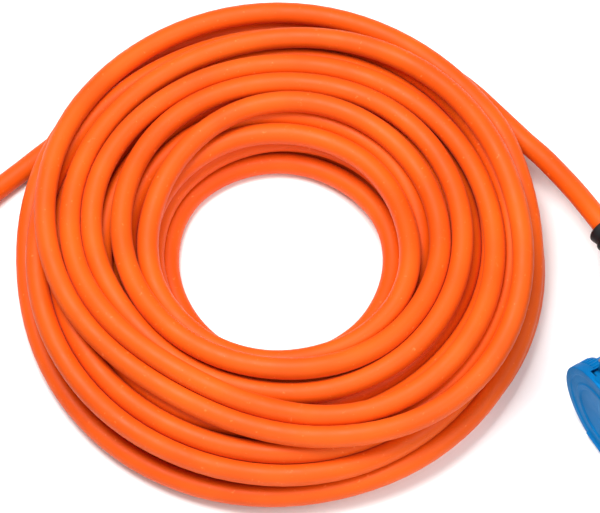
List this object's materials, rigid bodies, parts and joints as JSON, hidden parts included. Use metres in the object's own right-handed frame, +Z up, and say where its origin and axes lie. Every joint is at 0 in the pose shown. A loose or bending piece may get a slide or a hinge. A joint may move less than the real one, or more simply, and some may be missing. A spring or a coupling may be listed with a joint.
{
  "type": "extension cord",
  "caption": "Coiled orange rubber extension cord with a blue round industrial plug and an angled blue coupler with a sprung lid.",
  "frame": {"origin": "on the floor, under the middle of the whole object as it lies", "axes": "+Z up, +X along the longest side, from the plug towards the coupler, +Y towards the side of the coil where both tails leave it"},
  "size_m": [0.4466, 0.305, 0.0651],
  "materials": {
    "orange_sheath": "satin",
    "blue_shell": "satin",
    "blue_lid": "semi gloss",
    "grey_insert": "matt",
    "black_rubber": "satin",
    "black_nylon": "satin",
    "brass": "turned",
    "zinc_steel": "zinc plated",
    "brown_core": "satin",
    "blue_core": "satin",
    "earth_core": "satin, green and yellow"
  },
  "bodies": {
    "cord_set": {"cable_coil": "orange_sheath", "cable_tail_to_plug": "orange_sheath", "cable_tail_to_coupler": "orange_sheath", "coupler_body": "blue_shell", "coupler_collar": "blue_shell", "coupler_insert": "grey_insert", "coupler_contact_line": "brass", "coupler_contact_neutral": "brass", "coupler_contact_earth": "brass", "coupler_terminal_screw_line": "zinc_steel", "coupler_terminal_screw_neutral": "zinc_steel", "coupler_terminal_screw_earth": "zinc_steel", "coupler_hinge_pin": "zinc_steel", "coupler_lid_spring": "zinc_steel", "coupler_housing_screw_1": "zinc_steel", "coupler_housing_screw_2": "zinc_steel", "coupler_core_line": "brown_core", "coupler_core_neutral": "blue_core", "coupler_core_earth": "earth_core", "coupler_sleeve": "black_rubber", "coupler_gland_nut": "black_nylon", "coupler_grommet": "black_rubber", "coupler_cord_clamp": "grey_insert", "coupler_clamp_screw_1": "zinc_steel", "coupler_clamp_screw_2": "zinc_steel", "coupler_cable_end": "orange_sheath", "plug_sleeve": "black_rubber", "plug_gland_nut": "black_nylon", "plug_grommet": "black_rubber", "plug_cord_clamp": "grey_insert", "plug_clamp_screw_1": "zinc_steel", "plug_clamp_screw_2": "zinc_steel", "plug_cable_end": "orange_sheath", "plug_handle": "blue_shell", "plug_front": "blue_shell", "plug_pin_carrier": "grey_insert", "plug_pin_line": "brass", "plug_pin_neutral": "brass", "plug_pin_earth": "brass", "plug_terminal_screw_line": "zinc_steel", "plug_terminal_screw_neutral": "zinc_steel", "plug_terminal_screw_earth": "zinc_steel", "plug_core_line": "brown_core", "plug_core_neutral": "blue_core", "plug_core_earth": "earth_core"},
    "coupler_cap": {"coupler_lid": "blue_lid", "coupler_lid_gasket": "black_rubber"}
  },
  "joints": [
    {"name": "lid_hinge", "type": "hinge", "parent": "cord_set", "child": "coupler_cap", "pos_m": [0.14755, -0.08159, 0.0615], "axis": [-0.5225, 0.8526, 0], "range_deg": [0, 120], "stiffness_Nm_per_rad": 0.03, "springref_deg": -34.38, "deforming": ["coupler_lid_spring"]}
  ]
}
